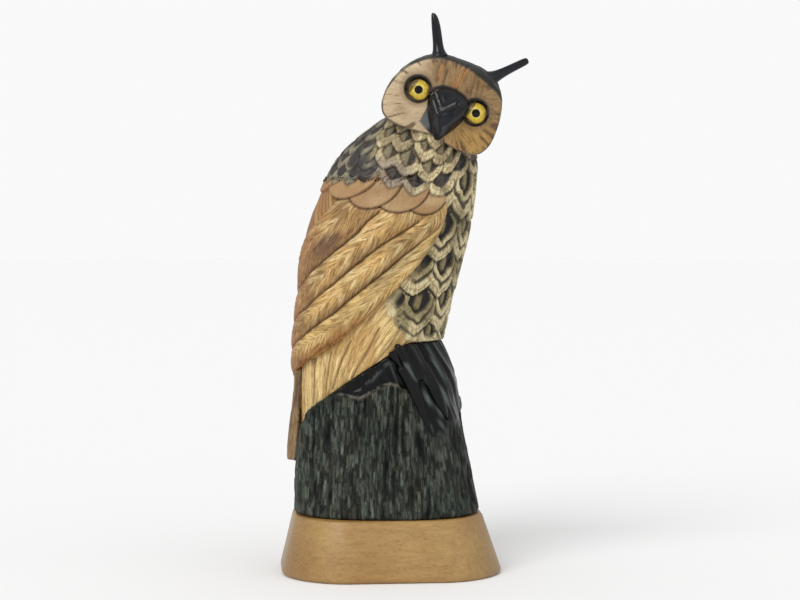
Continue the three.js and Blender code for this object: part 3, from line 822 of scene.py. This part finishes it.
# ---- Head ----
# A block set on the neck with a dowel, cut flat across the face. The face is left light, with burnt
# strokes round its rim, over the brow and about the eyes, and the crown behind it is stained black.

head_frame = Matrix.Translation((0.030, -0.034, 0.2517)) @ Matrix.Rotation(radians(5), 4, "Z")
head_frame = head_frame @ Matrix.Rotation(radians(22), 4, "Y")
to_head = np.array(head_frame.inverted())
eye_offset = 16.2  # mm from the middle of the face to each eye
hood_rows = [(26 - 7.5 * i, 5 * (i % 2), 10, 12, 6) for i in range(8)]

head = carving_copy("head", "carved_head", 0.0006, 6)
points, facing = skin(head)
x, depth, rise = (points @ to_head[:3, :3].T + to_head[:3, 3] * 1000).T
out_of_face = -(facing @ to_head[:3, :3].T)[:, 1]
plate = ease(0.5, 0.85, out_of_face) * (1 - ease(1.5, 3, depth))
from_middle = np.hypot(x, rise * 1.35)
turn = np.arctan2(rise, x)
eye_gap = np.minimum(np.hypot(x - eye_offset, rise), np.hypot(x + eye_offset, rise))
ticks = mottle(turn * 15, from_middle / 9, 3)
# The face's rim is nicked all round with short burnt strokes.
rim_ticks = ease(0.64, 0.74, mottle(turn * 24, 13)) * ease(26, 28.5, from_middle + 3 * mottle(turn * 9, 19))
brow = ease(5, 9, rise) * ease(17, 9, np.abs(x - 2))
brow_lines = mottle((x + 0.12 * rise) / 1.1, rise / 7, 8)
face_colour = mix((176, 154, 124), (208, 188, 160), mottle(x / 7, rise / 7, 5))
shaded = np.maximum(ease(1, 9, rise) * ease(-22, -8, x), ease(4, 14, x))
face_colour = mix(face_colour, (138, 110, 70), 0.85 * shaded)
orange = ease(0.4, 0.85, mottle((x - 0.2 * rise) / 2.4, rise / 8, 15))
face_colour = mix(face_colour, (182, 126, 70), 0.5 * brow * orange)
face_colour = mix(face_colour, (84, 62, 42), ease(0.42, 0.22, brow_lines) * brow * 0.8)
face_colour = mix(face_colour, (180, 144, 82), 0.75 * ease(2, -10, rise) * ease(-2, 8, x))
face_colour = mix(face_colour, (88, 62, 42), 0.8 * rim_ticks)
# Above this line across the face, and round the root of the beak, it is stained black.
cap_line = np.interp(x, [-30, -22, -17, -6.7, 4.9, 15.9, 22.4, 30], [12, 15.5, 18, 20.6, 19.8, 16.4, 14, 9])
face_colour = mix(face_colour, (26, 31, 29), ease(-0.5, 0.6, rise - cap_line))
beak_root = [(-12.4, 2.5), (-8.5, -5), (-9.5, -15), (-4, -18), (1.7, -20.5), (6, -13), (11, -5)]
beak_root += [(14.5, 2.5), (8, 6.5), (2, 8), (-5, 7.5), (-12.4, 2.5)]
blackened = ease(-0.5, 0.5, beside(x, rise, beak_root))
face_colour = mix(face_colour, (22, 24, 26), blackened)
# Painted reflection: a blue-grey patch on the black at the lower left of the beak.
facet_reflection = ease(5, 3, np.hypot(x + 7, 0.7 * (rise + 13))) * blackened
face_colour = mix(face_colour, (104, 110, 118), 0.8 * facet_reflection)
face_lift = -0.3 * rim_ticks + 0.25 * (brow_lines - 0.5) * brow + 0.2 * (ticks - 0.5)
# The sockets are rimmed with black.
for side in (-1, 1):
    ring = np.hypot(x - side * eye_offset + 0.5, rise - 0.5)
    # Painted shade darkens the face round each socket.
    face_colour = mix(face_colour, (110, 86, 60), 0.45 * ease(11, 8, ring))
    face_colour = mix(face_colour, (30, 28, 24), ease(7.9, 7.2, ring))

crown = ease(6, 12, rise) * ease(0, 2, depth)
hood = scales(np.arctan2(x, np.maximum(depth, 0) + 6) * 26, rise, hood_rows)
hood_rim = between(0.7, 1.0, hood[0], 0.04)
hood_colour = mix((64, 60, 57), (136, 128, 112), hood_rim)
# Painted shadow below the rim of each scale above.
hood_colour = mix(hood_colour, (48, 44, 40), 0.8 * ease(1, 0, hood[4]))
hood_colour = mix(hood_colour, (28, 31, 31), crown * 0.92)
fine = mottle(x / 1.6, depth / 14, 2)
hood_lift = (0.45 * hood_rim - 0.25) * (1 - crown) * ease(3, 6, depth) + 0.25 * (fine - 0.5) * crown
lift = hood_lift * (1 - plate) + face_lift * plate
lift[eye_gap < 7.2] = 0
carve(head, points, facing, lift)
on_brow, on_plate = (brow > 0.4)[:, None], (plate > 0.5)[:, None]
brow_run = np.stack([x + 0.12 * rise, rise, plate], 1)
face_run = np.stack([turn * 18, from_middle, plate], 1)
hair = np.where(on_plate, np.where(on_brow, brow_run, face_run), np.stack([x, depth, plate], 1))
paint(head, mix(hood_colour, face_colour, plate), hair, 0.6 - 0.3 * crown - 0.35 * plate * ease(2, -10, x))
head.data.materials.append(burnt_wood)
fit_in(head, "carved_wood", "head")


# ---- Beak ----
# A hooked wedge of polished black horn, pegged into the face between the eyes.

horn, node, feed = new_finish("polished black horn")
where = node("ShaderNodeTexCoord").outputs["Object"]
layers = noise(node, where, 120, 4)
horn_colour = ramp(node, layers, (0.35, (9, 11, 15)), (0.7, (26, 29, 35)))
# On its raised V a painted highlight makes it dull and brownish grey in patches.
wear_and_highlight = node("ShaderNodeAttribute", attribute_name="wear_and_highlight").outputs["Fac"]
ridge_highlight_colour = node("ShaderNodeRGB")
ridge_highlight_colour.outputs["Color"].default_value = (*linear(150, 138, 130), 1)
feed("Base Color", tinted(node, horn_colour, ridge_highlight_colour, wear_and_highlight, "MIX"))
feed("Specular IOR Level", 0.3)
feed("Roughness", rescaled(node, layers, 0.1, 0.24))
feed("Normal", bump(node, layers, 0.2, 0.0003))

# Its root is a kite on the face. Each step out from it is narrower, and the last ones turn down.
bpy.ops.mesh.primitive_circle_add(
    vertices=24, radius=0.0118, fill_type="NGON", rotation=(radians(90), 0, 0)
)
beak = start_piece("carved_beak")
bpy.ops.object.mode_set(mode="EDIT")
choose_parts(beak, "verts", lambda v: v.co.z < -0.0115)
bpy.ops.transform.translate(
    value=(0.001, 0, -0.011),
    use_proportional_edit=True,
    proportional_edit_falloff="SHARP",
    proportional_size=0.018,
)
choose_parts(beak, "verts", lambda v: v.co.z > 0.001)
bpy.ops.transform.resize(value=(0.99, 1, 0.62), center_override=(0.0005, 0, 0.001))
bpy.ops.mesh.select_all(action="SELECT")
bpy.ops.transform.translate(value=(0.0012, 0.0015, 0))
# Each step out and down in mm, and how much narrower the beak then is.
beak_steps = [(-3, 0, 0.97), (-3, -0.5, 0.84), (-3, -1.5, 0.68), (-1.8, -3, 0.55), (0.5, -4.5, 0.4)]
at = Vector((0.0012, 0.0015, -0.004))
for step_y, step_z, share in beak_steps:
    step = Vector((0, step_y, step_z)) / 1000
    at += step
    bpy.ops.mesh.extrude_region_move(TRANSFORM_OT_translate={"value": step})
    bpy.ops.transform.resize(value=(share, 1, share), center_override=at)
bpy.ops.mesh.select_all(action="SELECT")
bpy.ops.mesh.normals_make_consistent(inside=False)
bpy.ops.object.mode_set(mode="OBJECT")
apply_modifier(beak, "SUBSURF", levels=4, render_levels=4)
# A raised V on the bridge runs down from both eyes to the ridge.
points, facing = skin(beak)
bridge = np.abs(beside(points[:, 0], points[:, 2], [(-7.5, 1.5), (-2, -6), (3.5, 0)]))
front = ease(-2, -3, points[:, 1])
carve(beak, points, facing, front * (0.6 * ease(1.1, 0.1, bridge) - 0.5 * between(1.1, 2.6, bridge, 0.4)))
# Painted highlights lie in patches along the V.
patchy = ease(0.2, 0.7, mottle(points[:, 0] / 1.1, points[:, 2] / 1.1, 5))
wear_and_highlight = 0.35 * front * ease(0.9, 0.1, bridge) * patchy
beak.data.attributes.new("wear_and_highlight", "FLOAT", "POINT").data.foreach_set("value", wear_and_highlight.astype(np.float32))
beak.data.transform(head_frame)
bpy.ops.object.shade_smooth()
beak.data.materials.append(horn)
fit_in(beak, "black_horn", "beak")


# ---- Ear tufts ----
# Tapered spikes of the same horn, each with a flared foot and a peg into the crown.

# Each from its flared foot up: rise and shift from one step to the next, then half width and depth.
blade = [(0, 0, 6, 5.4), (2.2, 0, 4.1, 3.8), (3, 0.1, 2.8, 2.6), (6, 0.3, 2.6, 2.2)]
blade += [(7, 0.2, 2.4, 1.9), (4.6, -0.2, 1.7, 1.5), (1.8, -0.5, 0.8, 0.7)]
rod = [(0, 0, 6.4, 5.4), (2.4, 0, 4.3, 4), (3.2, 0, 2.9, 2.7), (6.5, 0, 2.3, 2.1)]
rod += [(7, 0.1, 2.1, 1.9), (4.4, 0.1, 2.0, 1.9), (1.5, 0, 1.4, 1.3)]
for node_name, place, lean, spike in (
    ("right_ear_tuft", (-0.0115, 0.007, 0.0198), -29.5, blade),
    ("left_ear_tuft", (0.016, 0.007, 0.0187), 41, rod),
):
    bpy.ops.mesh.primitive_circle_add(vertices=20, radius=0.001, fill_type="NGON")
    tuft = start_piece("carved_" + node_name)
    bpy.ops.object.mode_set(mode="EDIT")
    bpy.ops.mesh.select_all(action="SELECT")
    at, width, depth = Vector((0, 0, 0)), 1, 1
    for rise, shift, next_width, next_depth in spike:
        step = Vector((shift, 0, rise)) / 1000
        if rise:
            bpy.ops.mesh.extrude_region_move(TRANSFORM_OT_translate={"value": step})
        at += step
        bpy.ops.transform.resize(value=(next_width / width, next_depth / depth, 1), center_override=at)
        width, depth = next_width, next_depth
    bpy.ops.mesh.select_all(action="SELECT")
    bpy.ops.mesh.normals_make_consistent(inside=False)
    bpy.ops.object.mode_set(mode="OBJECT")
    apply_modifier(tuft, "SUBSURF", levels=2, render_levels=2)
    lean_over = Matrix.Rotation(radians(lean), 4, "Y") @ Matrix.Rotation(radians(-6), 4, "X")
    tuft.data.transform(head_frame @ Matrix.Translation(place) @ lean_over)
    bpy.ops.object.shade_smooth()
    tuft.data.materials.append(horn)
    fit_in(tuft, "black_horn", node_name)


# ---- Eyes ----
# Glass eyes, pressed into the sockets: a clear domed lens over a yellow ring round a black pupil, both set
# a little into the lens's flat back.

lens_radius = 5.5  # mm

glass, node, feed = new_finish("clear glass")
feed("Base Color", (1, 1, 0.98, 1))
feed("Transmission Weight", 1)
feed("IOR", 1.3)
feed("Specular IOR Level", 0.06)
feed("Roughness", 0.02)

yellow, node, feed = new_finish("yellow enamel")
iris_run = node("ShaderNodeAttribute", attribute_name="iris_run").outputs["Vector"]
parts = node("ShaderNodeSeparateXYZ", {"Vector": iris_run})
rays = noise(node, iris_run, 1.2, 3)
ring_colour = ramp(
    node,
    parts.outputs["X"],
    (0.38, (255, 238, 150)),
    (0.5, (250, 218, 50)),
    (0.82, (226, 186, 24)),
    (0.97, (120, 94, 22)),
)
ray_colour = ramp(node, rays, (0.35, 0.66), (0.6, 1.0))
feed("Base Color", tinted(node, ring_colour, ray_colour))
feed("Roughness", 0.3)

black, node, feed = new_finish("black enamel")
feed("Base Color", (0.004, 0.003, 0.002, 1))
feed("Roughness", 0.5)
feed("Specular IOR Level", 0.03)

for which, sign in (("right", -1), ("left", 1)):
    at = Vector((sign * eye_offset / 1000, 0, 0))
    lens_frame = head_frame @ Matrix.Translation(at) @ Matrix.Rotation(radians(90), 4, "X")
    bpy.ops.mesh.primitive_uv_sphere_add(segments=48, ring_count=24, radius=lens_radius / 1000)
    lens = start_piece(which + "_lens")
    bpy.ops.object.mode_set(mode="EDIT")
    bpy.ops.mesh.select_all(action="SELECT")
    bpy.ops.transform.resize(value=(1, 1, 0.58))
    bpy.ops.mesh.bisect(plane_co=(0, 0, 0), plane_no=(0, 0, -1), clear_outer=True, use_fill=True)
    choose_parts(lens, "faces", lambda f: f.normal.z < -0.9)
    bpy.ops.mesh.extrude_region_move(TRANSFORM_OT_translate={"value": (0, 0, -0.0004)})
    bpy.ops.object.mode_set(mode="OBJECT")
    lens.data.transform(Matrix.Translation((0, 0, 0.0006)))
    lens.data.transform(lens_frame)
    smooth(lens, 35)
    lens.data.materials.append(glass)
    fit_in(lens, "eye_glass", which + "_eye_glass")

    bpy.ops.mesh.primitive_cylinder_add(vertices=48, radius=0.0054, depth=0.0007, location=(0, 0, 0.0001))
    iris = start_piece(which + "_iris")
    bpy.ops.mesh.primitive_cylinder_add(vertices=32, radius=0.00205, depth=0.004, location=(0, 0, 0.0001))
    punch = start_piece("punch")
    apply_modifier(iris, "BOOLEAN", operation="DIFFERENCE", object=punch, solver="EXACT")
    bpy.data.objects.remove(punch)
    places, _ = skin(iris)
    out_share = np.hypot(places[:, 0], places[:, 1]) / lens_radius
    bearing = np.arctan2(places[:, 1], places[:, 0])
    run = np.stack([out_share, 6 * bearing, np.zeros(len(places))], 1).astype(np.float32)
    iris.data.attributes.new("iris_run", "FLOAT_VECTOR", "POINT").data.foreach_set("vector", run.ravel())
    iris.data.transform(lens_frame)
    smooth(iris)
    iris.data.materials.append(yellow)
    fit_in(iris, "iris_enamel", which + "_eye_iris")

    bpy.ops.mesh.primitive_cylinder_add(vertices=32, radius=0.0018, depth=0.0007, location=(0, 0, 0.0001))
    pupil = start_piece(which + "_pupil")
    bpy.ops.object.mode_set(mode="EDIT")
    choose_parts(pupil, "edges", lambda e: min(v.co.z for v in e.verts) > 0)
    bpy.ops.mesh.bevel(offset=0.0001, segments=2, affect="EDGES")
    bpy.ops.object.mode_set(mode="OBJECT")
    pupil.data.transform(lens_frame)
    smooth(pupil)
    pupil.data.materials.append(black)
    fit_in(pupil, "pupil_enamel", which + "_eye_pupil")


# ---- Floor, light and camera ----
# A plain pale sheet, lit softly from the upper left, with the owl seen from a little above its middle.

bpy.ops.mesh.primitive_plane_add(size=12, location=(0, 0, 0))
floor = start_piece("floor")
paper, node, feed = new_finish("white paper")
feed("Base Color", (0.94, 0.94, 0.94, 1))
feed("Roughness", 0.9)
floor.data.materials.append(paper)


def sun(name, turn, strength, spread):
    """A soft light from far off, turned by degrees from straight down."""
    bpy.ops.object.light_add(type="SUN", location=(0, 0, 2), rotation=[radians(part) for part in turn])
    made = bpy.context.object
    made.name = name
    made.data.energy = strength
    made.data.angle = radians(spread)


sun("key light", (48, 0, -32), 1.4, 35)
sun("fill light", (60, 0, 55), 0.25, 60)

world = bpy.data.worlds.new("studio")
world.use_nodes = True
# What the camera sees past the sheet is as pale as the sheet, and the light from all round is dimmer.
lit, seen = world.node_tree.nodes["Background"], world.node_tree.nodes.new("ShaderNodeBackground")
lit.inputs["Color"].default_value = (1, 1, 1, 1)
lit.inputs["Strength"].default_value = 0.68
seen.inputs["Color"].default_value = (0.95, 0.95, 0.95, 1)
path = world.node_tree.nodes.new("ShaderNodeLightPath")
either = world.node_tree.nodes.new("ShaderNodeMixShader")
for source, target in (
    (path.outputs["Is Camera Ray"], either.inputs["Fac"]),
    (lit.outputs["Background"], either.inputs[1]),
    (seen.outputs["Background"], either.inputs[2]),
    (either.outputs["Shader"], world.node_tree.nodes["World Output"].inputs["Surface"]),
):
    world.node_tree.links.new(source, target)
bpy.context.scene.world = world
bpy.context.scene.view_settings.view_transform = "Standard"

look_down = 2.79  # degrees below level
bpy.ops.object.camera_add(location=(0.0054, -1.1, 0.2), rotation=(radians(90 - look_down), 0, 0))
camera = bpy.context.object
camera.data.sensor_width = 36
camera.data.lens = 91.62
bpy.context.scene.camera = camera
